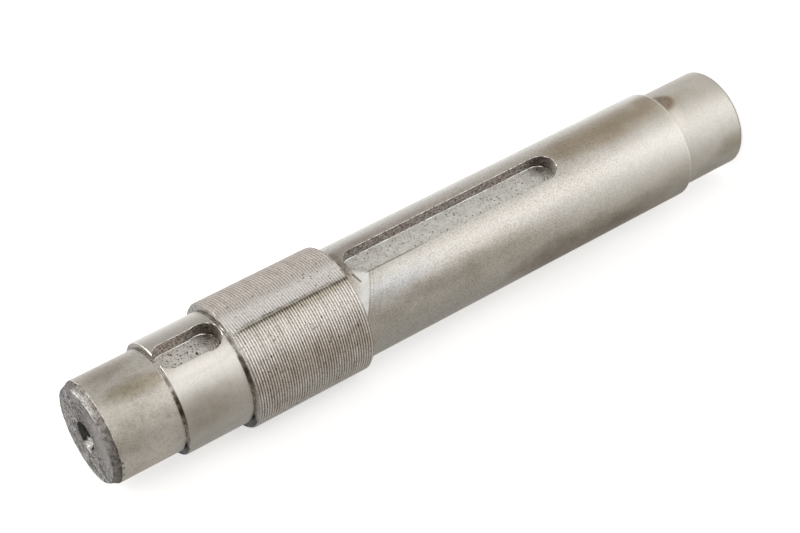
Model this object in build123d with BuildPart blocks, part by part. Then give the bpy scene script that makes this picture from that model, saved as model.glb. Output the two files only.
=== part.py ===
"""Stepped machine shaft: two plain journals, a keyed hub seat, a threaded
collar with a flat along it, and a long keyed body, all turned from one bar.

Units are millimetres.  The shaft stands on its foot journal: z = 0 is the foot
end face, +Z runs up the axis, and both keyways and the flat face -Y.
"""

from build123d import *
from math import radians, tan
import os

os.makedirs("parts", exist_ok=True)

# ---- lengths along the axis, from the foot up ----
foot_journal_len = 40.5
body_len = 218.5
thread_len = 69.5
hub_seat_len = 37.5
head_journal_len = 41.0

body_z = foot_journal_len
thread_z = body_z + body_len
hub_seat_z = thread_z + thread_len
head_journal_z = hub_seat_z + hub_seat_len
shaft_len = head_journal_z + head_journal_len

# ---- radii ----
journal_r = 28.0        # both plain journals, 56 across
body_r = 31.0           # long body, 62 across
hub_seat_r = 31.0       # short keyed seat, the same 62 across
thread_r = 35.0         # crest of the M70 x 1.5 thread

# ---- turned edges ----
lead_chamfer_len = 4.4      # long, shallow lead on the head journal
lead_chamfer_rise = 2.1
foot_chamfer = 1.0
body_chamfer = 0.8          # at the step down to the foot journal
thread_chamfer = 0.9        # as deep as the thread, so it starts clean
seat_chamfer = 0.4

# ---- relief grooves, cut where a ground seat meets a shoulder ----
relief_width = 1.5
relief_depth = 0.8

# ---- centre holes, left by turning and grinding between centres ----
centre_mouth_r = 8.0
centre_pilot_r = 6.0
centre_cone_angle = 60.0
centre_pilot_len = 16.0
centre_tip_angle = 118.0

# ---- plane of the half-section that is spun: local x points to -Y, local y up the axis ----
# The seams of the turned faces then run down the keyways and the flat.
section = Plane(origin=(0, 0, 0), x_dir=(0, -1, 0), z_dir=(-1, 0, 0))

# ---- keyway in the long body: closed and round at both ends ----
body_key_width = 17.2
body_key_floor = 22.3       # from the axis to the floor
body_key_low_z = 118.3
body_key_high_z = 254.0

# ---- keyway in the hub seat ----
seat_key_width = 16.6
seat_key_floor = 21.3
seat_key_high_z = head_journal_z + 1.1      # just breaks out into the upper relief groove
seat_key_plunge_r = 9.0                     # wider pocket where the cutter was sunk
seat_key_low_z = hub_seat_z + 0.9           # reaches the lower relief groove

# ---- flat milled along the thread ----
flat_height = 33.9          # from the axis, a little below the thread root


def turned_blank():
    """The plain turned shape: half the section, spun about the axis."""
    with BuildPart() as blank:
        with BuildSketch(section):
            with BuildLine():
                Polyline(
                    (0, 0),
                    # foot journal
                    (journal_r - foot_chamfer, 0),
                    (journal_r, foot_chamfer),
                    (journal_r, body_z),
                    # long body
                    (body_r - body_chamfer, body_z),
                    (body_r, body_z + body_chamfer),
                    (body_r, thread_z),
                    # threaded collar
                    (thread_r - thread_chamfer, thread_z),
                    (thread_r, thread_z + thread_chamfer),
                    (thread_r, hub_seat_z - thread_chamfer),
                    (thread_r - thread_chamfer, hub_seat_z),
                    # hub seat, with its relief groove first
                    (hub_seat_r - relief_depth, hub_seat_z),
                    (hub_seat_r - relief_depth, hub_seat_z + relief_width),
                    (hub_seat_r, hub_seat_z + relief_width),
                    (hub_seat_r, head_journal_z - seat_chamfer),
                    (hub_seat_r - seat_chamfer, head_journal_z),
                    # head journal, with its relief groove first
                    (journal_r - relief_depth, head_journal_z),
                    (journal_r - relief_depth, head_journal_z + relief_width),
                    (journal_r, head_journal_z + relief_width),
                    (journal_r, shaft_len - lead_chamfer_len),
                    (journal_r - lead_chamfer_rise, shaft_len),
                    (0, shaft_len),
                    close=True,
                )
            make_face()
        revolve(axis=Axis.Z)
    return blank.part


def centre_hole():
    """Cutter for one centre hole: mouth in the XY plane, pilot running down -Z."""
    cone_len = (centre_mouth_r - centre_pilot_r) / tan(radians(centre_cone_angle / 2))
    pilot_end = -cone_len - centre_pilot_len
    tip_end = pilot_end - centre_pilot_r / tan(radians(centre_tip_angle / 2))
    with BuildPart() as cutter:
        with BuildSketch(section):
            with BuildLine():
                Polyline(
                    (0, 0),
                    (centre_mouth_r, 0),
                    (centre_pilot_r, -cone_len),
                    (centre_pilot_r, pilot_end),
                    (0, tip_end),
                    close=True,
                )
            make_face()
        revolve(axis=Axis.Z)
    return cutter.part


def keyway(width, floor, low_z, high_z, low_r=None):
    """Cutter for a round-ended slot in the -Y side, as deep as `floor` from the axis.

    low_z and high_z are the slot's two ends; low_r is the radius of the lower
    end where it was sunk wider than the rest.
    """
    end_r = width / 2
    low_r = low_r or end_r
    low_centre = low_z + low_r
    high_centre = high_z - end_r
    with BuildPart() as cutter:
        with BuildSketch(Plane.XZ.offset(floor)):
            with Locations((0, (low_centre + high_centre) / 2)):
                Rectangle(width, high_centre - low_centre)
            with Locations((0, high_centre)):
                Circle(end_r)
            with Locations((0, low_centre)):
                Circle(low_r)
        extrude(amount=thread_r - floor)
    return cutter.part


with BuildPart() as shaft:
    add(turned_blank())

    # centre holes in both end faces
    with Locations((0, 0, shaft_len)):
        add(centre_hole(), mode=Mode.SUBTRACT)
    add(centre_hole(), rotation=(180, 0, 0), mode=Mode.SUBTRACT)

    # keyway in the long body
    add(keyway(body_key_width, body_key_floor, body_key_low_z, body_key_high_z), mode=Mode.SUBTRACT)

    # keyway in the hub seat, run out into the relief groove at either end
    add(
        keyway(seat_key_width, seat_key_floor, seat_key_low_z, seat_key_high_z, seat_key_plunge_r),
        mode=Mode.SUBTRACT,
    )

    # flat along the whole threaded length
    with BuildSketch(Plane.XZ.offset(flat_height)):
        with Locations((0, thread_z + thread_len / 2)):
            Rectangle(2 * thread_r, thread_len)
    extrude(amount=thread_r - flat_height, mode=Mode.SUBTRACT)

shaft.part.label = "shaft"
export_step(shaft.part, "parts/shaft.step")
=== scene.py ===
"""Stepped machine shaft in worn ground steel, standing close to a white backdrop.

The CAD solid gives the size and the places of everything.  One detailed skin
stands for it here: the same turned outline with a real helical thread, rough
milled keyways, a battered end face and nicked edges.
"""

import math

import bmesh
import bpy
from mathutils import Matrix, Vector, noise


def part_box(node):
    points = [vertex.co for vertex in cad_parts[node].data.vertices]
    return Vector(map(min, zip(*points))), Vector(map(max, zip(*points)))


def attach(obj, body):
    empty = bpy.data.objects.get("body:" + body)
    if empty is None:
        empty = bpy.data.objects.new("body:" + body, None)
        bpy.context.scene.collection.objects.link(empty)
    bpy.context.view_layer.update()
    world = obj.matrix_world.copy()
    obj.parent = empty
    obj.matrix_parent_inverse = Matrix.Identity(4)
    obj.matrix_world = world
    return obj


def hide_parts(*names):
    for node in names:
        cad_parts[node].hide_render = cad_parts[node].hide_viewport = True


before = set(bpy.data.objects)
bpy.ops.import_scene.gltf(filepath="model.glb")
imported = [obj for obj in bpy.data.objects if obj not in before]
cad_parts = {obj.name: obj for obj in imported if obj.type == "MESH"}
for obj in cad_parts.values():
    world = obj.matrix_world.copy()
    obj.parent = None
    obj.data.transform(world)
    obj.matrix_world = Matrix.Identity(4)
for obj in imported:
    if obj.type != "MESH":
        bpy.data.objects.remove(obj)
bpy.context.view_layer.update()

MM = 0.001

# ---------------------------------------------------------------- the shaft's sizes, mm
# These repeat the CAD source's values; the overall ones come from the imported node.
_low_corner, high_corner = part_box("shaft")
shaft_len = high_corner[2] / MM
thread_r = high_corner[1] / MM

body_z = 40.5               # top of the foot journal
thread_z = 259.0            # top of the long body
hub_seat_z = 328.5          # top of the threaded collar
head_journal_z = 366.0      # top of the hub seat

journal_r = 28.0
body_r = 31.0
hub_seat_r = 31.0

lead_chamfer_len = 4.4
lead_chamfer_rise = 2.1
foot_chamfer = 1.0
body_chamfer = 0.8
thread_chamfer = 0.9
seat_chamfer = 0.4
relief_width = 1.5
relief_depth = 0.8

centre_mouth_r = 8.0
centre_pilot_r = 6.0
centre_cone_len = 3.464
centre_pilot_len = 16.0
centre_tip_len = 3.6

body_key = {"half": 8.6, "floor": 22.3, "low": 118.3, "high": 254.0, "low_r": 8.6}
seat_key = {"half": 8.3, "floor": 21.3, "low": 329.4, "high": 367.1, "low_r": 9.0}

flat_height = 33.9
flat_dip = 0.85             # how far the flat sinks at its near corner by the head end
flat_dip_len = 9.0
flat_dip_across = (3.0, 11.0)

thread_pitch = 1.5
thread_depth = 0.85
crest_blunting = 0.1        # how far a smeared turn stays below the crest radius
crest_wear = 0.035
# how the turns open again beyond the flat's far edge: share of the depth, between two angles
smear_opens = [(0.3, 3.0, 16.0), (0.7, 40.0, 80.0)]
# one turn's outline: share of the pitch, share of the depth below the crest
thread_outline = [(0.0, 0.0), (0.34, 0.0), (0.58, 1.0), (0.76, 1.0)]

# dents on the thread's crests: height, angle, reach and depth
thread_nicks = [
    (289, -42, 1.6, 0.5), (301.5, -30, 1.2, 0.45), (282, -55, 1.4, 0.4),
    (312, -62, 1.8, 0.45), (270.5, -38, 1.3, 0.5), (322, -48, 1.5, 0.55),
    (266, 42, 1.6, 0.5), (297, 95, 2, 0.5), (318, 170, 1.8, 0.5),
    (276, 215, 1.6, 0.45), (305, 250, 1.5, 0.5), (325, 20.5, 1.2, 0.5),
]

# roughness of the hacked surfaces: depth, size and seed of their wobble
chamfer_hacks = (0.16, 1.6, 5.0)
chamfer_edge = (0.12, 2.5, 7.0)
face_dents = [(0.10, 3.0, 9.0), (0.05, 1.1, 4.0)]
burr_share = 0.7            # how much of the dents is missing by the centre hole

# how finely the skin is drawn
by_step = 0.5               # from a step's shoulder to the ring of points beside it
corner_r = 0.18             # rounding of the turned outline's corners
seat_corner_r = 0.15
groove_corner_r = 0.25
plain_spacing = 12.0        # most between rings on a plain length
groove_spacing = 1.0
foot_face_rings = (14.0, 20.0, 25.0)
lead_rings = 8
face_rings = 18


# ---------------------------------------------------------------- mesh helpers

def column_angles():
    """Degrees round the shaft from the keyway side: every 2, and every 0.5 by the flat's edges."""
    coarse = [2.0 * step for step in range(181)]
    by_edge = [8.0 + 0.5 * step for step in range(22)]
    return sorted({*coarse, *by_edge, *(360.0 - angle for angle in by_edge)})


angles = column_angles()


def place(r, angle, z):
    """Point at radius r, turned by angle from -Y towards +X, in mm."""
    turn = math.radians(angle)
    return Vector((r * math.sin(turn), -r * math.cos(turn), z))


def wobble(point, size, seed):
    """Smooth noise from -1 to 1 with features about `size` mm across."""
    return noise.noise(Vector(point) / size + Vector((seed, -seed, 2 * seed)))


def ramp(value, low, high):
    """0 up to low, 1 from high on, straight between."""
    return min(max((value - low) / (high - low), 0.0), 1.0)


def clean_mesh(name, points, faces, materials):
    """A closed mesh in metres from points in mm, with doubles merged and normals outwards."""
    data = bpy.data.meshes.new(name)
    data.from_pydata([point * MM for point in points], [], faces)
    data.polygons.foreach_set("material_index", materials)
    merge_distance = 0.0005 * MM
    clean = bmesh.new()
    clean.from_mesh(data)
    bmesh.ops.remove_doubles(clean, verts=clean.verts, dist=merge_distance)
    bmesh.ops.dissolve_degenerate(clean, edges=clean.edges, dist=merge_distance)
    bmesh.ops.recalc_face_normals(clean, faces=clean.faces)
    clean.to_mesh(data)
    clean.free()
    return data


class Skin:
    """Rings of points joined into a surface of quads, with a material index for each band."""

    def __init__(self):
        self.points = []
        self.faces = []
        self.materials = []
        self.last = None

    def ring(self, points, material=0):
        start = len(self.points)
        self.points.extend(points)
        if self.last is not None:
            for i in range(len(points) - 1):
                self.faces.append(
                    (self.last + i, self.last + i + 1, start + i + 1, start + i))
                self.materials.append(material)
        self.last = start

    def turned(self, r, z, material=0):
        """A level ring at one radius and height."""
        self.ring([place(r, angle, z) for angle in angles], material)

    def along(self, outline, material, spacing=plain_spacing):
        """Level rings along an outline of (r, z), no further apart than about the spacing."""
        for (r0, z0), (r1, z1) in zip(outline, outline[1:]):
            steps = max(1, int(math.hypot(r1 - r0, z1 - z0) / spacing))
            for i in range(1, steps + 1):
                t = i / steps
                self.turned(r0 + (r1 - r0) * t, z0 + (z1 - z0) * t, material)

    def mesh(self, name):
        return clean_mesh(name, self.points, self.faces, self.materials)


# material slots of the skin
GROUND, THREAD, FLAT, FACE, LEAD, GROOVE, FLOOR, WALL, RIM, HOLE = range(10)


# ---------------------------------------------------------------- the turned skin

def thread_radius(z, angle):
    """Radius of the threaded collar at a height and angle: helix, chamfered ends, nicks."""
    phase = ((z - thread_z) / thread_pitch - angle / 360.0) % 1.0
    outline = thread_outline + [(1.0, 0.0)]
    for (p0, d0), (p1, d1) in zip(outline, outline[1:]):
        if p0 <= phase <= p1:
            depth = d0 + (d1 - d0) * (phase - p0) / (p1 - p0)
            break
    worn = crest_wear * (1 + wobble(place(thread_r, angle, z), 4.0, 3.1))
    r = thread_r - max(thread_depth * depth, worn)
    from_end = min(z - thread_z, hub_seat_z - z)
    r = min(r, thread_r - thread_chamfer + from_end)
    for nick_z, nick_angle, reach, nick_depth in thread_nicks:
        across = ((angle - nick_angle + 180) % 360 - 180) * math.pi / 180 * thread_r
        far = math.hypot(z - nick_z, across) / reach
        if far < 2:
            r -= nick_depth * math.exp(-far * far) * (1 - depth)
    return r


def flat_level(x, z):
    """Height of the milled flat, which dips at its near corner by the head end."""
    near_head = ramp(z, hub_seat_z - flat_dip_len, hub_seat_z)
    return flat_height - flat_dip * near_head ** 2 * ramp(-x, *flat_dip_across)


def on_thread(angle, z):
    """Point of the threaded collar: the flat is cut off, and the thread beside it is smeared.

    The grooves are closed on the near half of the flat and open slowly beyond its far edge.
    """
    side = (angle + 180) % 360 - 180
    from_end = min(z - thread_z, hub_seat_z - z)
    smooth_r = thread_r - max(crest_blunting, thread_chamfer - from_end)
    level = -flat_level(place(thread_r, angle, z).x, z)
    open_share = 1.0
    if side > 0.0:
        open_share = sum(share * ramp(side, *between) for share, *between in smear_opens)
    elif place(thread_r, angle, z).y < level:
        open_share = 0.0
    groove = smooth_r + (thread_radius(z, angle) - smooth_r) * open_share
    point = place(groove, angle, z)
    point.y = max(point.y, level)
    return point


def round_corner(r0, z0, r1, z1, r2, z2, radius, steps=3):
    """Points that round the corner at (r1, z1) between two neighbours."""
    corner = Vector((r1, z1))
    start = corner + Vector((r0 - r1, z0 - z1)).normalized() * radius
    end = corner + Vector((r2 - r1, z2 - z1)).normalized() * radius
    out = []
    for i in range(steps + 1):
        t = i / steps
        out.append((1 - t) ** 2 * start + 2 * t * (1 - t) * corner + t ** 2 * end)
    return [(p.x, p.y) for p in out]


def rounded(outline, radius):
    """The outline of (r, z) with each corner between its two ends rounded."""
    out = [outline[0]]
    for before, corner, after in zip(outline, outline[1:], outline[2:]):
        room = min(math.dist(before, corner), math.dist(corner, after)) / 2
        out += round_corner(*before, *corner, *after, min(radius, room))
    return out + [outline[-1]]


def add_foot_and_body(skin):
    """Foot centre hole from its tip outwards, end face, foot journal, body up to the collar."""
    pilot_end = centre_cone_len + centre_pilot_len
    skin.turned(0.0, pilot_end + centre_tip_len)
    skin.turned(centre_pilot_r, pilot_end, HOLE)
    skin.turned(centre_pilot_r, centre_cone_len, HOLE)
    skin.turned(centre_mouth_r, 0.0, HOLE)
    for r in foot_face_rings:
        skin.turned(r, 0.0, GROOVE)
    skin.along(rounded([
        (foot_face_rings[-1], 0.0),
        (journal_r - foot_chamfer, 0.0),
        (journal_r, foot_chamfer),
        (journal_r, body_z - by_step),
    ], corner_r), GROUND)
    skin.along(rounded([
        (journal_r, body_z - by_step),
        (journal_r, body_z),
        (body_r - body_chamfer, body_z),
        (body_r, body_z + body_chamfer),
        (body_r, thread_z - by_step),
        (body_r, thread_z),
        (body_r + 1.0, thread_z),
    ], corner_r), GROUND)


def add_collar(skin):
    """Rows that run along the helix and stop at the collar's two ends."""
    turns = int((hub_seat_z - thread_z) / thread_pitch) + 1
    for turn in range(-1, turns + 1):
        for share, _depth in thread_outline:
            row = []
            for angle in angles:
                z = thread_z + thread_pitch * (turn + share + angle / 360.0)
                z = min(max(z, thread_z), hub_seat_z)
                row.append(on_thread(angle, z))
            skin.ring(row, THREAD)


def add_seat_and_journal(skin):
    """Hub seat and head journal, each with the relief groove at its foot."""
    groove = rounded([
        (hub_seat_r + 1.0, hub_seat_z),
        (hub_seat_r - relief_depth, hub_seat_z),
        (hub_seat_r - relief_depth, hub_seat_z + relief_width),
        (hub_seat_r, hub_seat_z + relief_width),
    ], groove_corner_r)
    skin.turned(*groove[0], THREAD)
    skin.along(groove, GROOVE, groove_spacing)
    skin.along(rounded([
        (hub_seat_r, hub_seat_z + relief_width),
        (hub_seat_r, head_journal_z - seat_chamfer),
        (hub_seat_r - seat_chamfer, head_journal_z),
    ], seat_corner_r), GROUND)
    skin.along(rounded([
        (hub_seat_r - seat_chamfer, head_journal_z),
        (journal_r - relief_depth, head_journal_z),
        (journal_r - relief_depth, head_journal_z + relief_width),
        (journal_r, head_journal_z + relief_width),
    ], groove_corner_r), GROOVE, groove_spacing)
    skin.along([
        (journal_r, head_journal_z + relief_width),
        (journal_r, shaft_len - lead_chamfer_len),
    ], GROUND)


def add_lead_chamfer(skin):
    """The hacked lead chamfer, which ends in a ragged edge at the end face."""
    hack_depth, *hack_look = chamfer_hacks
    edge_depth, *edge_look = chamfer_edge
    for i in range(1, lead_rings + 1):
        t = i / lead_rings
        z = shaft_len - lead_chamfer_len * (1 - t)
        r = journal_r - lead_chamfer_rise * t
        swell = math.sin(math.pi * min(t, 0.9))
        sink = edge_depth if t == 1 else 0
        row = []
        for angle in angles:
            point = place(r, angle, z)
            hack = hack_depth * (wobble(point, *hack_look) - 1) * swell
            row.append(place(r + hack, angle, z - sink * (1 + wobble(point, *edge_look))))
        skin.ring(row, LEAD)


def add_end_face(skin):
    """The battered end face, highest by the burr round the centre hole, and the hole to its tip."""
    edge_r = journal_r - lead_chamfer_rise
    for i in range(1, face_rings + 1):
        t = i / face_rings
        r = edge_r + (centre_mouth_r - edge_r) * t
        row = []
        for angle in angles:
            point = place(r, angle, shaft_len)
            dent = sum(depth * (1 + wobble(point, *look)) for depth, *look in face_dents)
            row.append(place(r, angle, shaft_len - dent * (1 - burr_share * t ** 8)))
        skin.ring(row, FACE)
    skin.turned(centre_mouth_r, shaft_len, FACE)
    for r, depth in (
        (centre_mouth_r - 0.3, 0.25),
        (centre_pilot_r + 0.2, centre_cone_len - 0.2),
        (centre_pilot_r, centre_cone_len + 0.2),
        (centre_pilot_r, centre_cone_len + centre_pilot_len),
        (0.0, centre_cone_len + centre_pilot_len + centre_tip_len),
    ):
        skin.turned(r, shaft_len - depth, HOLE)


def sort_collar_faces(data):
    """Gives the collar's milled flat and its two end faces materials of their own."""
    close = 0.02
    for polygon in data.polygons:
        if polygon.material_index != THREAD:
            continue
        corners = [data.vertices[i].co / MM for i in polygon.vertices]
        heights = [corner.z for corner in corners]
        if all(corner.y < close - flat_level(corner.x, corner.z) for corner in corners):
            polygon.material_index = FLAT
        elif all(z > hub_seat_z - close or z < thread_z + close for z in heights):
            polygon.material_index = GROOVE


def build_turned_skin():
    """The whole shaft but for its keyways, from the foot's centre hole to the head's."""
    skin = Skin()
    add_foot_and_body(skin)
    add_collar(skin)
    add_seat_and_journal(skin)
    add_lead_chamfer(skin)
    add_end_face(skin)
    data = skin.mesh("shaft_skin")
    sort_collar_faces(data)
    return data


# ---------------------------------------------------------------- keyway cutters

key_corner = 0.3    # fillet between the floor and the walls
key_bevel = 0.2     # worn edge at the slot's rim
key_proud = 0.15    # how far the cutter's bevel carries on above the surface
key_roof = 2.0      # how far above the surface the cutter ends
key_columns = 16    # quads across the slot
key_spacing = 0.9   # between rows
key_arc_steps = 14  # rows round each end

# upright ribs on the walls by the lower end: depth, reach, waves by height, slant
key_ribs = (0.22, 14.0, 4.2, 1.7)


def key_half_width(key, z):
    """Half the slot's width at height z, round at both ends."""
    half, low_r = key["half"], key["low_r"]
    low_centre, high_centre = key["low"] + low_r, key["high"] - half
    width = 0.0
    if low_centre <= z <= high_centre:
        width = half
    if abs(z - low_centre) < low_r:
        width = max(width, math.sqrt(low_r ** 2 - (z - low_centre) ** 2))
    if abs(z - high_centre) < half:
        width = max(width, math.sqrt(half ** 2 - (z - high_centre) ** 2))
    return width


def key_heights(key):
    """Heights of the slot's rows, closer together round its ends."""
    low_r, high_r = key["low_r"], key["half"]
    quarter = [math.pi / 2 * (i + 0.25) / key_arc_steps for i in range(key_arc_steps)]
    low_end = [key["low"] + low_r * (1 - math.cos(t)) for t in quarter]
    high_end = [key["high"] - high_r * (1 - math.cos(t)) for t in reversed(quarter)]
    straight = high_end[0] - low_end[-1]
    steps = int(straight / key_spacing)
    middle = [low_end[-1] + straight * i / steps for i in range(1, steps)]
    return low_end + middle + high_end


def key_outward(key, x, z):
    """Level direction out of the slot at a point of its outline."""
    low_centre, high_centre = key["low"] + key["low_r"], key["high"] - key["half"]
    past_ends = min(z - low_centre, 0.0) + max(z - high_centre, 0.0)
    return Vector((x, 0.0, past_ends)).normalized()


def key_roughness(key, point, seed):
    """How far a wall stands out: long waves and grain, and upright ribs by the lower end."""
    depth, reach, waves_by_z, slant = key_ribs
    near_low = max(0.0, 1 - (point.z - key["low"]) / reach)
    ribs = depth * near_low * math.sin(waves_by_z * (point.z + slant * point.x))
    waves = 0.10 * wobble(point, 3.0, seed + 2)
    return waves + 0.06 * wobble(point, 0.9, seed + 3) + ribs


def build_key_cutter(key, seed, surface_r):
    """A closed solid that cuts one keyway: pitted floor, rough walls, bevelled rim."""
    heights = key_heights(key)
    rows, stride = len(heights), key_columns + 1
    points, faces, materials = [], [], []

    def grid(y_of, inset):
        """Adds the points of a level grid over the slot, and returns the first one's index."""
        start = len(points)
        for z in heights:
            half = max(key_half_width(key, z) - inset, 0.3)
            for c in range(stride):
                x = half * (2 * c / key_columns - 1)
                points.append(Vector((x, y_of(x, z), z)))
        return start

    def floor_y(x, z):
        spot = (x, 0.0, z)
        dip = 0.10 * wobble(spot, 5.0, seed) + 0.07 * wobble(spot, 1.3, seed + 1)
        return -key["floor"] - dip

    floor = grid(floor_y, key_corner)
    roof = grid(lambda x, z: -(surface_r + key_roof), -key_bevel - key_proud)

    # the outline runs up one side and back down the other
    outline = [r * stride for r in range(rows)]
    outline += [(rows - 1) * stride + c for c in range(1, key_columns + 1)]
    outline += [r * stride + key_columns for r in range(rows - 2, -1, -1)]
    outline += list(range(key_columns - 1, 0, -1))

    wall_steps = int((surface_r - key["floor"]) / key_spacing)
    bands = [RIM] + [WALL] * (wall_steps - 1) + [RIM, WALL]
    loops = [[floor + i for i in outline]]
    for step in range(wall_steps + 1):
        loop = []
        for i in outline:
            x, _y, z = points[roof + i]
            rim = math.sqrt(surface_r ** 2 - min(abs(x), surface_r - 1) ** 2)
            if step < wall_steps:
                low, high = key["floor"] + key_corner, rim - key_bevel
                y = low + (high - low) * step / (wall_steps - 1)
                out = key_outward(key, x, z)
                point = Vector((x, -y, z)) - out * (key_bevel + key_proud)
                point += out * key_roughness(key, point, seed)
            else:
                point = Vector((x, -rim - key_proud, z))
            loop.append(len(points))
            points.append(point)
        loops.append(loop)
    loops.append([roof + i for i in outline])

    for start, flip, material in ((floor, False, FLOOR), (roof, True, WALL)):
        for r in range(rows - 1):
            for a in range(start + r * stride, start + r * stride + key_columns):
                quad = (a, a + 1, a + stride + 1, a + stride)
                faces.append(quad[::-1] if flip else quad)
                materials.append(material)
    for lower, upper, material in zip(loops, loops[1:], bands):
        for i in range(len(lower)):
            j = (i + 1) % len(lower)
            faces.append((lower[i], lower[j], upper[j], upper[i]))
            materials.append(material)
    return clean_mesh("key_cutter", points, faces, materials)


def cut(target, cutter_mesh):
    """Takes the cutter out of the target's mesh for good."""
    cutter = bpy.data.objects.new("cutter", cutter_mesh)
    bpy.context.scene.collection.objects.link(cutter)
    for material in target.data.materials:
        cutter_mesh.materials.append(material)
    modifier = target.modifiers.new("cut", "BOOLEAN")
    modifier.operation = "DIFFERENCE"
    modifier.solver = "EXACT"
    modifier.object = cutter
    bpy.context.view_layer.update()
    evaluated = target.evaluated_get(bpy.context.evaluated_depsgraph_get())
    result = bpy.data.meshes.new_from_object(evaluated)
    target.modifiers.remove(modifier)
    target.data = result
    bpy.data.objects.remove(cutter)


def sharpen_material_edges(data):
    """Shades the mesh sharply wherever two finishes meet."""
    edges = bmesh.new()
    edges.from_mesh(data)
    for edge in edges.edges:
        if len({face.material_index for face in edge.link_faces}) > 1:
            edge.smooth = False
    edges.to_mesh(data)
    edges.free()


# ---------------------------------------------------------------- shader nodes

class Nodes:
    """Adds shader nodes to one material or world by short calls."""

    def __init__(self, owner):
        owner.use_nodes = True
        self.tree = owner.node_tree
        self.tree.nodes.clear()

    def feed(self, socket, value):
        """Links a socket to another node's output, or sets its own value; a colour is (r, g, b)."""
        if isinstance(value, bpy.types.NodeSocket):
            self.tree.links.new(value, socket)
        elif socket.type == "RGBA":
            socket.default_value = (*value, 1.0)
        else:
            socket.default_value = value

    def add(self, kind, inputs=(), **settings):
        node = self.tree.nodes.new("ShaderNode" + kind)
        for name, value in settings.items():
            setattr(node, name, value)
        for name, value in dict(inputs).items():
            self.feed(node.inputs[name], value)
        return node

    def math(self, operation, a, b=0.0):
        return self.add("Math", {0: a, 1: b}, operation=operation).outputs[0]

    def plus(self, a, b):
        return self.math("ADD", a, b)

    def minus(self, a, b):
        return self.math("SUBTRACT", a, b)

    def times(self, product, *factors):
        for factor in factors:
            product = self.math("MULTIPLY", product, factor)
        return product

    def most(self, greatest, *values):
        for value in values:
            greatest = self.math("MAXIMUM", greatest, value)
        return greatest

    def apart(self, a, b):
        """How far two values are from each other."""
        return self.math("ABSOLUTE", self.minus(a, b))

    def azimuth(self, x, y):
        """Radians from -Y towards +X."""
        return self.math("ARCTAN2", x, self.times(y, -1.0))

    def spread(self, value, low, high, to_low=0.0, to_high=1.0):
        """Maps low..high to to_low..to_high and holds it there outside."""
        return self.add("MapRange", {
            "Value": value, "From Min": low, "From Max": high,
            "To Min": to_low, "To Max": to_high}).outputs["Result"]

    def sway(self, noise_value, to_low, to_high):
        """Spreads the range that most of a noise stays in."""
        return self.spread(noise_value, 0.3, 0.7, to_low, to_high)

    def window(self, value, opens, open_from, open_to, closes):
        """0 up to opens, 1 from open_from to open_to, 0 again from closes on."""
        return self.times(self.spread(value, opens, open_from), self.spread(value, closes, open_to))

    def mix(self, factor, a, b, blend_type="MIX"):
        """Colour a where factor is 0, b where it is 1."""
        inputs = {0: factor, 6: a, 7: b}
        return self.add("Mix", inputs, data_type="RGBA", blend_type=blend_type).outputs[2]


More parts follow.
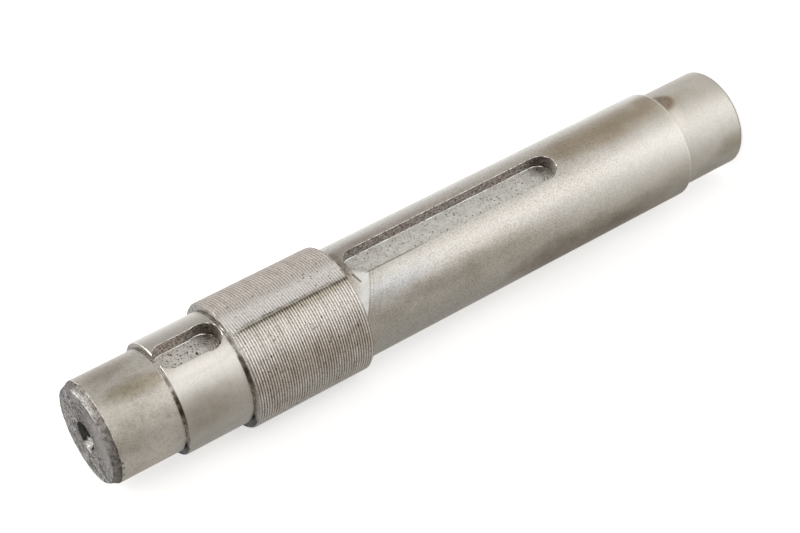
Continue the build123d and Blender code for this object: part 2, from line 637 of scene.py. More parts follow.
class Steel(Nodes):
    """A finish of the steel: places on the shaft, and a colour that is built up in layers.

    Places are radius in mm, angle in degrees from the keyway side towards +X, height z in mm
    and x across the keyways in mm.
    """

    def __init__(self, name):
        self.material = bpy.data.materials.new(name)
        super().__init__(self.material)
        x, y, z = self.add("SeparateXYZ", {"Vector": self.stretched((1, 1, 1))}).outputs
        self.x, self.z = x, z
        self.radius = self.level_length(x, y)
        self.angle = self.times(self.azimuth(x, y), 180 / math.pi)
        self.colour = None

    def stretched(self, scale):
        """Object position in mm times a scale for each axis."""
        here = self.add("TexCoord").outputs["Object"]
        node = self.add("Mapping", {"Vector": here, "Scale": [s / MM for s in scale]})
        return node.outputs["Vector"]

    def level_length(self, x, y):
        level = self.add("CombineXYZ", {"X": x, "Y": y}).outputs[0]
        return self.add("VectorMath", {0: level}, operation="LENGTH").outputs["Value"]

    def noise(self, vector, detail, roughness=0.55, distortion=0.0):
        return self.add("TexNoise", {
            "Vector": vector, "Scale": 1.0, "Detail": detail,
            "Roughness": roughness, "Distortion": distortion}).outputs["Fac"]

    def grain(self, scale, *look):
        """Noise in the steel, with `scale` features a mm: one number, or one for each axis."""
        each_axis = scale if isinstance(scale, tuple) else (scale,) * 3
        return self.noise(self.stretched(each_axis), *look)

    def patch(self, at_angle, at, reach_angle, reach, ragged, edge=(2.0, 0.0), along=None):
        """1 inside an oval, 0 outside, with an edge that follows ragged.

        The oval reaches round the shaft and along z, or along another place.
        """
        across = self.math("DIVIDE", self.minus(self.angle, at_angle), reach_angle)
        off = self.math("DIVIDE", self.minus(along or self.z, at), reach)
        far = self.plus(self.times(across, across), self.times(off, off))
        return self.spread(self.plus(far, ragged), *edge)

    def dots(self, scale, size):
        """Round pits: `scale` cells a mm, half of them with a pit up to `size` cells in reach."""
        node = self.add("TexVoronoi", {"Vector": self.stretched((1, 1, 1)), "Scale": scale})
        chance, width, _blue = self.add("SeparateColor", {0: node.outputs["Color"]}).outputs
        width = self.spread(width, 0.0, 1.0, 0.45 * size, size)
        pit = self.spread(self.math("DIVIDE", node.outputs["Distance"], width), 1.0, 0.6)
        return self.times(pit, self.math("GREATER_THAN", chance, 0.5))

    def base(self, factor, a, b):
        """Starts the colour: a where factor is 0, b where it is 1."""
        self.colour = self.mix(factor, a, b)

    def cover(self, factor, colour):
        """Lays a colour over the one so far where factor is 1."""
        self.colour = self.mix(factor, self.colour, colour)

    def tint(self, factor, multiplier):
        """Multiplies the colour so far where factor is 1."""
        self.colour = self.mix(factor, self.colour, multiplier, "MULTIPLY")

    def bump(self, height, strength, distance):
        inputs = {"Height": height, "Strength": strength, "Distance": distance * MM}
        return self.add("Bump", inputs).outputs["Normal"]

    def metal(self, roughness, normal, metallic=1.0, anisotropic=0.0):
        """Ends the finish with the colour so far."""
        inputs = {
            "Base Color": self.colour,
            "Metallic": metallic,
            "Roughness": roughness,
            "Normal": normal,
            "Anisotropic": anisotropic,
        }
        if anisotropic:
            inputs["Tangent"] = self.add("Tangent", direction_type="RADIAL", axis="Z").outputs[0]
        shader = self.add("BsdfPrincipled", inputs).outputs[0]
        self.add("OutputMaterial", {"Surface": shader})


# ---------------------------------------------------------------- finishes of the steel

# Painted light and shade on the ground surfaces, laid where light falls and reflections run, and
# three real nicks: angle, height, reach round, reach along, tint
painted_shading_and_nicks = [
    (-12, 379, 10, 19, (0.64, 0.6, 0.51)),    # painted olive shade, a strip on the head journal
    (-42, 391, 24, 18, (0.75, 0.73, 0.69)),   # painted shade dulling its front
    (-97, 112, 20, 46, (0.62, 0.57, 0.52)),   # painted brown shade on the body's underside
    (-95, 390, 25, 18, (1.26, 1.25, 1.24)),   # painted light on the low side of the head journal
    (26, 391, 12, 17, (0.84, 0.81, 0.78)),    # painted shade on its far side
    (-66, 348, 16, 20, (0.84, 0.8, 0.76)),    # painted brown shade on one side of the hub seat
    (-17, 348, 8, 22, (1.26, 1.26, 1.26)),    # painted highlight, a strip along its keyway
    # three painted shades along the body, from the collar
    (-55, 242, 13, 24, (0.86, 0.85, 0.84)),
    (-56, 195, 10, 34, (0.82, 0.8, 0.78)),
    (-60, 172, 14, 24, (0.84, 0.82, 0.78)),
    (20, 228, 7, 38, (0.82, 0.78, 0.79)),     # painted shade beyond the body keyway
    (8, 78, 16, 48, (0.8, 0.72, 0.62)),       # painted brown shade on the upper side, towards the foot
    (-6, 18, 26, 24, (1.1, 1.1, 1.1)),        # painted light on the foot journal
    (17, 46.5, 12, 6, (0.8, 0.75, 0.7)),      # brown darkening on the body beside the half-moon
    (-10, 38, 20, 5, (1.15, 1.15, 1.16)),     # painted pale highlight at the foot journal's shoulder
    (-78, 9, 12, 9, (0.84, 0.83, 0.77)),      # painted shade on the low side of the foot journal
    (-37, 236, 10, 23, (0.88, 0.92, 0.98)),   # painted cool reflection on the body by the collar
    (150, 180, 30, 60, (0.85, 0.8, 0.73)),    # painted shade on the hidden side of the body
    (95, 345, 30, 20, (0.85, 0.81, 0.75)),    # painted shade on the hidden side of the hub seat
    # three nicks by the lead chamfer
    (-79, 402.2, 1.6, 0.7, (0.32, 0.29, 0.26)),
    (-86, 402, 1.2, 0.8, (0.34, 0.31, 0.28)),
    (-98, 402.2, 1.5, 0.7, (0.32, 0.29, 0.26)),
]


def ground_steel(n):
    """Journals, seat and body: fine grinding lines, stipple, smudges, and painted light and shade.
    """
    grinding = n.grain((0.03, 0.03, 3), 4, 0.7)
    smudge = n.grain((0.05, 0.05, 0.035), 4, 0.6)
    stipple = n.grain((1.5, 1.5, 1.2), 4, 0.75)
    blotch = n.grain(0.32, 5, 0.7)
    on_head = n.spread(n.z, head_journal_z, head_journal_z + 2)

    n.base(n.spread(smudge, 0.35, 0.65), (0.69, 0.66, 0.615), (0.79, 0.76, 0.71))
    ragged = n.sway(smudge, -0.5, 0.5)
    # each entry tints its own patch: painted light and shade, and the three nicks
    for at_angle, at_z, reach_angle, reach_z, tint in painted_shading_and_nicks:
        shade = n.patch(at_angle, at_z, reach_angle, reach_z, ragged)
        if at_z > head_journal_z:
            shade = n.times(shade, on_head)
        n.tint(shade, tint)

    # stains are strongest on the head journal, and the stipple's specks on the body
    stained = n.times(n.spread(blotch, 0.5, 0.64), n.spread(on_head, 0, 1, 0.25, 1))
    n.tint(stained, (0.87, 0.84, 0.8))
    speckle = n.plus(n.spread(n.z, thread_z + 5, thread_z, 0.3, 1), n.times(on_head, 0.3))
    speckle = n.times(speckle, n.spread(n.z, 60, 110, 0.4, 1))
    speckled = n.times(n.spread(stipple, 0.46, 0.62), speckle)
    n.tint(speckled, (0.66, 0.63, 0.59))
    n.tint(n.spread(grinding, 0.45, 0.75), (0.92, 0.91, 0.9))
    pit = n.dots(0.16, 0.06)
    n.tint(pit, (0.35, 0.3, 0.25))

    add_foot_painted_shadow_and_highlight(n, blotch)
    wedge_of_painted_light = add_painted_wedge_reflection(n, stipple, blotch)
    add_keyway_dirt_and_shadow(n, stipple, blotch)

    # the two journals are duller than the rest
    dull = n.most(on_head, n.spread(n.z, body_z, body_z - 1))
    roughness = n.plus(n.spread(smudge, 0.35, 0.65, 0.26, 0.36), n.times(dull, 0.14))
    # the wedge under the painted reflection is also rougher and less metallic
    roughness = n.plus(roughness, n.times(wedge_of_painted_light, 0.25))
    height = n.plus(n.times(grinding, 0.4), n.times(speckled, -0.4))
    normal = n.bump(n.minus(height, pit), 0.35, 0.04)
    metallic = n.spread(wedge_of_painted_light, 0, 1, 1, 0.3)
    n.metal(roughness, normal, metallic, anisotropic=0.5)


def add_foot_painted_shadow_and_highlight(n, blotch):
    """Painted shadow on the foot journal as a crisp brown half-moon, a painted highlight along the
    line at the body's foot, a dark foot edge.
    """
    # painted shadow of the body's shoulder on the foot journal: a crisp brown half-moon
    moon = n.times(
        n.patch(9, 38.5, 15.5, 8.8, n.sway(blotch, -0.15, 0.15), (1.15, 0.6)),
        n.spread(n.z, body_z + 0.1, body_z),
        n.spread(blotch, 0.36, 0.6, 0.75, 1))
    n.tint(moon, (0.54, 0.47, 0.42))
    # painted highlight along the line at the body's foot, strong near the top and near the bottom
    line = n.window(n.z, body_z - 0.1, body_z + 0.1, body_z + 1.3, body_z + 1.7)
    upper = n.spread(n.angle, -16, -4, 0.12, 0.75)
    lower = n.spread(n.angle, -44, -60, 0, 0.6)
    n.cover(n.times(line, n.plus(upper, lower)), (0.93, 0.92, 0.9))
    n.tint(n.spread(n.z, 1.5, 1.1), (0.5, 0.47, 0.45))


def add_painted_wedge_reflection(n, stipple, blotch):
    """A painted reflection: a bright wedge between the body keyway and the collar, with painted
    dark bands along its edge; returns it.
    """
    edge_z = n.plus(n.times(n.angle, -0.3), 241)
    below = n.plus(n.minus(edge_z, n.z), n.sway(stipple, -0.4, 0.4))
    beside = n.window(n.angle, -66, -52, -15, -8)
    beside = n.times(beside, n.spread(n.z, thread_z + 1, thread_z))
    # painted dark bands along the wedge's edge
    painted_edge_lines = (
        (0.2, 0.9, (0.7, 0.68, 0.66)),
        (2.2, 3, (0.82, 0.8, 0.79)),
        (3.6, 8, (0.9, 0.9, 0.9)),
    )
    for start, end, tint in painted_edge_lines:
        line = n.window(below, start - 0.3, start, end, end + 0.6)
        n.tint(n.times(line, beside), tint)
    wedge_of_painted_light = n.times(n.spread(below, 0.3, -0.6), beside)
    share = n.times(wedge_of_painted_light, n.spread(blotch, 0.4, 0.62, 0.95, 0.6))
    n.cover(share, (0.86, 0.865, 0.85))
    return wedge_of_painted_light


def add_keyway_dirt_and_shadow(n, stipple, blotch):
    """Dirt round the body keyway's collar end, a painted shadow line by it, a dark line along its
    near rim, and specks by its rim.
    """
    tan = n.patch(-20, 257, 11, 3, n.spread(blotch, 0.35, 0.65, -0.8, 0.8))
    tan = n.times(tan, n.spread(stipple, 0.38, 0.55))
    n.tint(tan, (0.72, 0.62, 0.53))
    grey = n.patch(2, 256.6, 17, 3.2, n.spread(blotch, 0.35, 0.65, -0.6, 0.6))
    grey = n.times(grey, n.spread(stipple, 0.35, 0.55, 0.5, 1))
    n.tint(grey, (0.5, 0.47, 0.44))

    # painted shadow line at the foot of the collar's shoulder, slanting by the keyway's end; an
    # upright dark line along the near rim
    off_line = n.apart(n.z, n.spread(n.angle, -23, -9, 252.8, 254.9))
    across_it = n.window(n.angle, -23.5, -22.5, -13, -11)
    slanting = n.times(n.spread(off_line, 0.75, 0.35), across_it)
    near_rim = n.spread(n.apart(n.angle, -16.9), 0.9, 0.45)
    upright = n.times(near_rim, n.window(n.z, 200, 222, 246.5, 249), 0.75)
    n.tint(n.most(slanting, upright), (0.34, 0.28, 0.24))

    along_rim = n.spread(n.apart(n.angle, -17.5), 3.5, 2)
    specks = n.times(n.dots(0.7, 0.34), along_rim, n.window(n.z, 140, 160, 205, 225))
    n.tint(specks, (0.34, 0.3, 0.27))


def thread_steel(n):
    """Cut thread: bright worn crests, roots darkened by grime and painted shade, painted shade low
    on the side.
    """
    blotch = n.grain(0.16, 5, 0.65)
    grit = n.grain(1.3, 4, 0.65)
    ragged = n.sway(blotch, -0.5, 0.5)
    beyond_flat = n.spread(n.angle, 6, 16)

    n.base(n.spread(blotch, 0.35, 0.65), (0.88, 0.84, 0.79), (1, 0.97, 0.93))
    n.tint(n.spread(grit, 0.52, 0.66), (0.54, 0.51, 0.48))
    n.tint(n.patch(-64, 292, 14, 40, ragged), (0.84, 0.79, 0.73))               # painted grey shade low on the side
    n.tint(n.spread(n.apart(n.angle, -35), 48, 90), (0.8, 0.79, 0.78))          # painted shade on the hidden side
    n.tint(beyond_flat, (0.82, 0.8, 0.79))
    n.tint(n.patch(-17.5, 284, 4, 26, ragged), (0.82, 0.8, 0.72))               # painted olive shade, a strip
    n.tint(n.patch(-15.2, 292, 1.5, 60, ragged), (0.42, 0.39, 0.34))            # by the flat

    # roots are darkened by grime and by painted shade in the grooves, less so in the band of
    # painted light, and broken up
    root = n.spread(n.radius, thread_r - thread_depth, thread_r - 0.15, 1, 0)
    broken = n.spread(grit, 0.35, 0.6, 0.55, 1)
    lit_band = n.patch(-30, 294, 12, 60, ragged)
    dark = n.times(root, broken, n.spread(lit_band, 0, 1, 1, 0.3))
    n.cover(dark, (0.3, 0.26, 0.23))

    # where the turns are smeared beyond the flat, only dark lines are left of them
    phase = n.minus(n.z, n.times(n.angle, thread_pitch / 360))
    turns = n.math("SINE", n.times(phase, 2 * math.pi / thread_pitch))
    smeared = n.times(n.spread(turns, 0, 0.9), beyond_flat, broken)
    n.tint(smeared, (0.62, 0.58, 0.55))

    uneven = n.grain((0.05, 0.05, 0.5), 3, 0.7)
    n.tint(n.spread(uneven, 0.5, 0.64), (0.88, 0.87, 0.86))
    dents = n.most(n.dots(0.22, 0.21), n.dots(0.5, 0.25))
    dents = n.times(dents, n.spread(n.angle, 0, -14))
    n.tint(dents, (0.42, 0.38, 0.34))
    roughness = n.plus(n.sway(blotch, 0.34, 0.48), n.times(beyond_flat, 0.2))
    n.metal(roughness, n.bump(n.minus(grit, dents), 0.8, 0.15), metallic=0.75)


def flat_steel(n):
    """The flat milled along the thread: pale and pitted, the thread's lines still faintly there."""
    blotch = n.grain(0.2, 5, 0.65)
    grit = n.grain(1.1, 3, 0.6)
    turns = n.math("SINE", n.times(n.z, 2 * math.pi / thread_pitch))
    from_middle = n.plus(n.math("ABSOLUTE", n.x), n.sway(blotch, -3, 3))
    lines = n.times(n.spread(turns, -0.1, 0.8), n.spread(from_middle, 0, 6, 0.4, 1))
    n.base(n.sway(blotch, 0, 1), (0.8, 0.78, 0.75), (0.93, 0.92, 0.9))
    n.tint(lines, (0.58, 0.54, 0.51))
    n.tint(n.spread(grit, 0.5, 0.7), (0.66, 0.63, 0.6))
    far_side = n.spread(n.plus(n.x, n.sway(blotch, -1.5, 1.5)), 0, 4)
    n.tint(far_side, (0.84, 0.81, 0.79))

    # dark band along the near edge, which curves in by the head end and fades towards the foot
    near_edge = n.plus(n.x, n.spread(n.z, hub_seat_z - flat_dip_len, hub_seat_z, 0, 2.6))
    near_edge = n.plus(near_edge, n.spread(grit, 0.35, 0.65, -0.9, 0.9))
    dark_edge_band = n.times(
        n.spread(near_edge, -6.5, -7.4),
        n.spread(blotch, 0.4, 0.6, 0.35, 1),
        n.spread(n.z, thread_z, thread_z + 30, 0.35, 1))
    pit = n.dots(0.42, 0.24)
    n.tint(n.most(pit, dark_edge_band), (0.2, 0.18, 0.15))
    height = n.plus(grit, n.times(lines, -0.5))
    normal = n.bump(n.minus(height, pit), 0.5, 0.08)
    n.metal(n.sway(blotch, 0.45, 0.6), normal, metallic=0.5)


def end_face_steel(n):
    """Head end face: smeared and dented, scratched bright on one half, chipped by the hole."""
    rings = n.noise(n.add("CombineXYZ", {"X": n.times(n.radius, 1.5)}).outputs[0], 2)
    blotch = n.grain(0.17, 6, 0.65, 1.5)
    grit = n.grain(0.5, 4, 0.7, 0.6)
    curl = n.grain((0.15, 0.11, 0.15), 3, 0.6, 2)
    n.base(n.spread(blotch, 0.45, 0.55), (0.13, 0.125, 0.12), (0.36, 0.325, 0.3))
    n.cover(n.spread(grit, 0.53, 0.6, 0, 0.7), (0.5, 0.48, 0.46))
    n.tint(n.spread(grit, 0.47, 0.41), (0.42, 0.4, 0.38))
    n.tint(n.spread(n.radius, 19, 16), (0.76, 0.74, 0.72))
    scratch = n.times(
        n.spread(n.apart(curl, 0.5), 0.05, 0.02),
        n.spread(n.apart(n.angle, -30), 50, 110, 0.15, 1),
        n.spread(grit, 0.42, 0.52, 0.3, 1))
    n.cover(n.times(scratch, 0.8), (0.68, 0.67, 0.65))
    uneven = n.spread(blotch, 0.4, 0.6, -0.5, 0.5)
    smooth = n.patch(-55, 19, 42, 6, uneven, along=n.radius)
    n.cover(n.times(smooth, 0.7), (0.44, 0.41, 0.4))
    ragged = n.spread(grit, 0.44, 0.56, 1.2, -0.6)
    burrs = n.patch(-168, 8.8, 16, 1.4, ragged, along=n.radius)
    n.cover(burrs, (0.92, 0.91, 0.89))
    height = n.plus(n.times(rings, 0.3), n.plus(grit, scratch))
    n.metal(n.sway(blotch, 0.42, 0.6), n.bump(height, 1, 0.5))


def lead_steel(n):
    """Lead chamfer: hacked and dark, bright and ragged along its two edges."""
    chips = n.grain(0.45, 5, 0.7, 0.6)
    ragged = n.plus(n.radius, n.sway(chips, -0.9, 0.9))
    broken = n.spread(n.grain(0.2, 3), 0.4, 0.6)
    # the chips by the inner edge are brightest over the keyways; the low side has brown dirt
    inner_edge = n.times(
        n.spread(ragged, 26.9, 26.3),
        n.spread(broken, 0, 1, 0.35, 1),
        n.spread(n.apart(n.angle, 1), 30, 20, 0.15, 1),
        n.spread(chips, 0.4, 0.52, 0.3, 1))
    outer_edge = n.times(n.spread(n.radius, 27.8, 27.92), broken)
    n.base(n.spread(chips, 0.42, 0.6), (0.17, 0.155, 0.145), (0.42, 0.39, 0.365))
    n.tint(n.spread(n.angle, 8, 30), (0.6, 0.57, 0.55))
    dirty = n.times(
        n.spread(n.angle, 5, -25),
        n.spread(ragged, 27.1, 27.8),
        n.spread(chips, 0.6, 0.48, 0.3, 1))
    n.tint(dirty, (0.42, 0.36, 0.31))
    n.cover(n.most(inner_edge, outer_edge), (0.78, 0.77, 0.74))
    n.metal(n.sway(chips, 0.6, 0.4), n.bump(chips, 0.9, 0.4))


def groove_steel(n):
    """Relief grooves, shoulders, foot end face: turned, grey with brown specks, with painted brown
    shade and painted shade under the shoulders.
    """
    oil = n.grain((0.25, 0.25, 0.6), 4, 0.65)
    n.base(n.spread(oil, 0.34, 0.56), (0.46, 0.42, 0.38), (0.86, 0.84, 0.81))
    # painted brown shade low on the middle of the grooves
    painted_brown_shade = n.patch(-52, 350, 15, 60, n.sway(oil, -0.5, 0.5))
    n.tint(painted_brown_shade, (0.34, 0.28, 0.23))
    n.tint(n.spread(n.angle, -2, 12), (0.58, 0.56, 0.54))
    steps = (hub_seat_z, head_journal_z)
    shoulders = n.most(*[n.spread(n.apart(n.z, step_z), 0.2, 0.1) for step_z in steps])
    # painted shade on the low side of the two shoulders
    under = n.times(n.spread(n.angle, -99, -108), n.spread(n.angle, -168, -150))
    n.tint(n.times(under, shoulders), (0.1, 0.105, 0.105))
    for step_z in steps:
        corner = n.window(n.minus(n.z, step_z), 0.1, 0.25, 0.6, 0.8)
        corner = n.times(corner, n.spread(oil, 0.62, 0.5, 0.4, 1))
        n.tint(corner, (0.3, 0.26, 0.23))
    n.metal(n.sway(oil, 0.5, 0.38), n.bump(oil, 0.4, 0.08))


def low_end_shade(n, mottle):
    """1 in the far corner of each keyway's lower end, where painted shade darkens the recess."""
    ragged = n.sway(mottle, -0.5, 0.5)
    body_end = n.patch(20, body_key["low"] + 1, 20, 9, ragged)
    seat_end = n.patch(20, seat_key["low"] + 1, 20, 8, ragged)
    return n.most(body_end, seat_end)


def key_floor_steel(n):
    """Keyway floors: pale and matt, scattered with small black pits."""
    mottle = n.grain(0.22, 5, 0.65)
    grit = n.grain(1, 3, 0.6)
    in_seat = n.spread(n.z, thread_z, hub_seat_z)
    n.base(n.spread(mottle, 0.35, 0.65), (0.72, 0.7, 0.66), (0.9, 0.89, 0.86))
    n.tint(n.spread(grit, 0.5, 0.68), (0.62, 0.6, 0.57))
    n.tint(in_seat, (1.1, 1.09, 1.09))
    n.tint(n.times(n.spread(grit, 0.48, 0.4), in_seat), (0.62, 0.59, 0.56))

    # rings left by the cutter at each keyway's lower end
    arcs = 0
    for key in (body_key, seat_key):
        from_centre = n.minus(n.z, key["low"] + key["low_r"])
        reach = n.times(n.level_length(n.x, from_centre), 4.6)
        wave = n.spread(n.math("SINE", reach), 0, 0.8)
        near_end = n.window(from_centre, -13, -12, -3, 0)
        arcs = n.most(arcs, n.times(wave, near_end))
    n.tint(arcs, (0.58, 0.54, 0.5))

    # pits, which are dense in the seat keyway but for a strip by its near wall
    dense = n.most(n.dots(0.62, 0.34), n.dots(1.05, 0.36), n.dots(0.34, 0.3))
    dense = n.times(dense, n.spread(n.x, -6.5, -3, 0.3, 1), in_seat)
    pit = n.most(n.dots(0.3, 0.24), n.dots(0.46, 0.27), dense)
    n.cover(pit, (0.04, 0.035, 0.03))
    # painted shade in the far corner of each lower end
    n.tint(low_end_shade(n, mottle), (0.3, 0.26, 0.23))
    height = n.minus(n.plus(n.times(grit, 0.5), mottle), n.plus(pit, arcs))
    n.metal(n.sway(mottle, 0.65, 0.5), n.bump(height, 0.5, 0.12), metallic=0.4)


def key_wall_steel(n):
    """Keyway walls: torn, dark brown with grey grains, painted nearly black with shade at the lower
    end.
    """
    mottle = n.grain(0.9, 5, 0.75)
    n.base(n.spread(mottle, 0.42, 0.58), (0.13, 0.105, 0.09), (0.58, 0.53, 0.49))
    in_seat = n.times(n.spread(n.z, thread_z, hub_seat_z), n.spread(n.z, 345, 356))
    n.tint(in_seat, (1.35, 1.33, 1.3))
    # painted shade in the far corner of each lower end
    n.tint(low_end_shade(n, mottle), (0.38, 0.34, 0.3))
    ragged = n.spread(mottle, 0.35, 0.65, -0.8, 0.8)
    for key in (body_key, seat_key):
        light = n.patch(-12, key["low"] + 2, 14, 5, ragged)
        light = n.times(light, n.spread(mottle, 0.44, 0.54, 0.35, 1))
        n.cover(light, (0.7, 0.67, 0.64))
    n.metal(n.sway(mottle, 0.6, 0.45), n.bump(mottle, 0.8, 0.3), metallic=0.7)


def rim_steel(n):
    """Worn edges of the keyways: thin and bright, broken by dark nicks."""
    nicks = n.grain(0.6, 4, 0.65)
    worn = n.plus(nicks, n.spread(n.radius, 26, 28, -0.06, 0))
    worn = n.plus(worn, n.spread(n.apart(n.z, body_key["high"]), 12, 4, 0, 0.1))
    n.base(n.spread(worn, 0.48, 0.62), (0.92, 0.9, 0.87), (0.3, 0.26, 0.23))
    n.metal(0.35, n.bump(nicks, 0.4, 0.06), metallic=0.8)


def hole_steel(n):
    """Inside of the centre holes: black with old grease and painted shade, painted light with
    bright chips on the wall below the mouth.
    """
    grease = n.grain(0.5, 4, 0.65)
    ragged = n.spread(grease, 0.35, 0.65, 0.7, -0.7)
    # painted shade: black inside, a little lighter at the mouth
    by_mouth = n.spread(n.radius, centre_mouth_r - 0.5, centre_mouth_r)
    n.base(by_mouth, (0.015, 0.014, 0.013), (0.12, 0.11, 0.1))
    upper_wall = n.patch(95, centre_mouth_r, 50, 3, ragged, along=n.radius)
    n.cover(upper_wall, (0.1, 0.1, 0.095))

    # one patch of painted light on the wall that faces the light, which lies across the place where
    # the angle jumps from 180 to -180
    painted_lit_wall = 0
    for at in (181, 181 - 360):
        side = n.patch(at, centre_mouth_r - 0.8, 25, 2.2, ragged, (1.6, 0.4), along=n.radius)
        painted_lit_wall = n.most(painted_lit_wall, side)
    chips = n.grain(0.9, 4, 0.75)
    n.cover(painted_lit_wall, (0.34, 0.335, 0.31))
    n.cover(n.times(painted_lit_wall, n.spread(chips, 0.5, 0.58)), (0.66, 0.65, 0.62))
    n.metal(n.sway(grease, 0.5, 0.65), n.bump(grease, 0.5, 0.2))


# ---------------------------------------------------------------- the shaft

# in the order of the skin's material slots
finishes = (
    ground_steel, thread_steel, flat_steel, end_face_steel, lead_steel,
    groove_steel, key_floor_steel, key_wall_steel, rim_steel, hole_steel,
)
smooth_below = 32           # degrees between two faces that still shade as one surface

shaft = bpy.data.objects.new("shaft_visual", build_turned_skin())
bpy.context.scene.collection.objects.link(shaft)
for finish in finishes:
    steel = Steel(finish.__name__)
    finish(steel)
    shaft.data.materials.append(steel.material)

cut(shaft, build_key_cutter(body_key, seed=11.0, surface_r=body_r))
cut(shaft, build_key_cutter(seat_key, seed=23.0, surface_r=hub_seat_r))

shaft.data.name = "shaft_visual"
shaft.data.polygons.foreach_set("use_smooth", [True] * len(shaft.data.polygons))
shaft.data.set_sharp_from_angle(angle=math.radians(smooth_below))
sharpen_material_edges(shaft.data)
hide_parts("shaft")
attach(shaft, "root")


# ---------------------------------------------------------------- camera

def direction(azimuth, elevation):
    """Unit vector at an azimuth, from -Y towards +X, and an elevation, in degrees."""
    turn, rise = math.radians(azimuth), math.radians(elevation)
    level = math.cos(rise)
    return Vector((math.sin(turn) * level, -math.cos(turn) * level, math.sin(rise)))


def standing_at(centre, out):
    """Matrix of something at centre whose own Z axis points along out."""
    return Matrix.Translation(centre) @ out.to_track_quat("Z", "Y").to_matrix().to_4x4()


camera_azimuth = -34.2
camera_elevation = 24.65
camera_roll = -117.0
camera_distance = 1.0568
camera_target = Vector((0.0034, -0.0023, 0.2156))

towards_camera = direction(camera_azimuth, camera_elevation)
camera_data = bpy.data.cameras.new("camera")
camera_data.lens = 90.25
camera_data.sensor_width = 36.0
camera = bpy.data.objects.new("camera", camera_data)
bpy.context.scene.collection.objects.link(camera)
camera.matrix_world = (
    standing_at(camera_target + towards_camera * camera_distance, towards_camera)
    @ Matrix.Rotation(math.radians(camera_roll), 4, "Z")
)
bpy.context.scene.camera = camera


# ---------------------------------------------------------------- stage: floor, backdrop, light

stage_size = 8.0
floor_glow = 0.60
backdrop_glow = 0.49
backdrop_azimuth = 20.8
backdrop_gap = 0.3          # mm behind the collar, like the table the shaft was photographed on


def white_stage(name, glow_strength, one_sided=False):
    """White paper: its glow is only for the camera, so the shaft's shadow still shows on it."""
    material = bpy.data.materials.new(name)
    n = Nodes(material)
    glow = n.add("Emission", {"Color": (1, 1, 1), "Strength": glow_strength})
    paper = n.add("BsdfDiffuse", {"Color": (0.85, 0.85, 0.85)})
    shader = n.add("AddShader", {0: glow.outputs[0], 1: paper.outputs[0]}).outputs[0]
    if one_sided:
        clear = n.add("BsdfTransparent")
        behind = n.add("NewGeometry").outputs["Backfacing"]
        shader = n.add("MixShader", {0: behind, 1: shader, 2: clear.outputs[0]}).outputs[0]
    n.add("OutputMaterial", {"Surface": shader})
    return material


def stage_plane(name, centre, normal, material):
    """A square sheet that only the camera sees, so the shaft mirrors the studio instead."""
    half = stage_size / 2
    corners = [(-half, -half, 0), (half, -half, 0), (half, half, 0), (-half, half, 0)]
    data = bpy.data.meshes.new(name)
    data.from_pydata(corners, [], [(0, 1, 2, 3)])
    data.materials.append(material)
    plane = bpy.data.objects.new(name, data)
    plane.matrix_world = standing_at(centre, normal)
    plane.visible_glossy = False
    plane.visible_diffuse = False
    plane.visible_shadow = False
    bpy.context.scene.collection.objects.link(plane)


stage_plane("floor", Vector((0, 0, 0)), Vector((0, 0, 1)), white_stage("floor_white", floor_glow))
towards_room = direction(backdrop_azimuth, 0.0)
stage_plane(
    "backdrop", -towards_room * (thread_r + backdrop_gap) * MM, towards_room,
    white_stage("backdrop_white", backdrop_glow, one_sided=True))

# The studio is a ring of soft light and shade round the upright shaft: azimuth in degrees from -Y
# towards +X, then brightness.  The lower ring is what the foot end of the shaft mirrors.
upper_ring = [
    (-180, 0.36), (-162, 0.38), (-146, 0.38), (-114, 0.36), (-82, 0.40), (-66, 0.50), (-50, 0.80),
    (-34, 1.35), (-18, 1.25), (-2, 0.78), (14, 0.58), (46, 0.44), (78, 0.46), (94, 0.74),
    (110, 1.06), (126, 1.38), (146, 0.68), (164, 0.36), (180, 0.36),
]
lower_ring = [
    (-180, 0.26), (-162, 0.28), (-146, 0.30), (-130, 0.35), (-114, 0.46), (-98, 0.64), (-82, 0.90),
    (-66, 1.12), (-50, 1.35), (-34, 1.48), (-18, 1.35), (-2, 0.82), (14, 0.66), (30, 0.54),
    (54, 0.46), (78, 0.60), (94, 0.84), (110, 1.14), (126, 1.44), (146, 0.60), (164, 0.28),
    (180, 0.26),
]
upper_warmth = 0.05         # how warm each ring's shade is
lower_warmth = 0.09
back_coolness = 0.016       # how cool the light is behind the shaft
back_azimuth = 150.0
rings_meet = (-0.43, -0.54) # sines of the elevations where the upper ring ends, the lower begins
ring_scale = 2.0            # a colour ramp holds no more than 1, so it holds the light over this


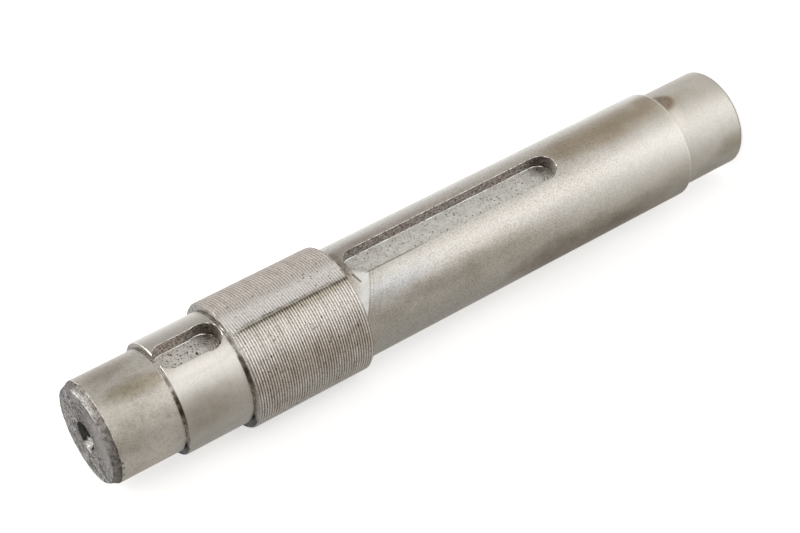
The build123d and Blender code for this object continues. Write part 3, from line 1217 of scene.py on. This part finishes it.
def ring_light(n, turn, stops, warmth_of_shade):
    """A colour ramp of the brightness round the ring, over ring_scale."""
    ramp = n.add("ValToRGB", {"Fac": turn})
    ramp.color_ramp.interpolation = "EASE"
    elements = ramp.color_ramp.elements
    elements.remove(elements[1])
    for i, (azimuth, light) in enumerate(stops):
        share = (azimuth + 180) / 360
        element = elements[0] if i == 0 else elements.new(share)
        element.position = share
        behind = max(0.0, math.cos(math.radians(azimuth - back_azimuth)))
        warmth = warmth_of_shade * max(0.0, 1.0 - light) - back_coolness * behind
        grey = light / ring_scale
        element.color = (grey * (1 + warmth), grey, grey * (1 - 2 * warmth), 1.0)
    return ramp.outputs["Color"]


def build_studio():
    """The world: the two rings for the shaft to mirror, and plain white for the camera."""
    world = bpy.data.worlds.new("studio")
    bpy.context.scene.world = world
    n = Nodes(world)
    x, y, z = n.add("SeparateXYZ", {"Vector": n.add("TexCoord").outputs["Generated"]}).outputs
    turn = n.plus(n.math("DIVIDE", n.azimuth(x, y), 2 * math.pi), 0.5)
    studio = n.mix(
        n.spread(z, *rings_meet),
        ring_light(n, turn, upper_ring, upper_warmth),
        ring_light(n, turn, lower_ring, lower_warmth))
    lit = n.add("Background", {"Color": studio, "Strength": ring_scale}).outputs[0]
    seen = n.add("Background", {"Color": (1, 1, 1), "Strength": 1.0}).outputs[0]
    by_camera = n.add("LightPath").outputs["Is Camera Ray"]
    sky = n.add("MixShader", {0: by_camera, 1: lit, 2: seen}).outputs[0]
    n.add("OutputWorld", {"Surface": sky})


def softbox(name, azimuth, elevation, distance, width, power):
    """A square area lamp aimed at the middle of the shaft."""
    data = bpy.data.lights.new(name, "AREA")
    data.shape = "RECTANGLE"
    data.size = data.size_y = width
    data.energy = power
    lamp = bpy.data.objects.new(name, data)
    out = direction(azimuth, elevation)
    middle = Vector((0, 0, shaft_len * MM / 2))
    lamp.matrix_world = standing_at(middle + out * distance, out)
    bpy.context.scene.collection.objects.link(lamp)


build_studio()
softbox("key", azimuth=60.0, elevation=45.0, distance=1.6, width=0.8, power=10.0)

bpy.context.scene.view_settings.view_transform = "Standard"

print("triangles", sum(len(p.vertices) - 2 for p in shaft.data.polygons))
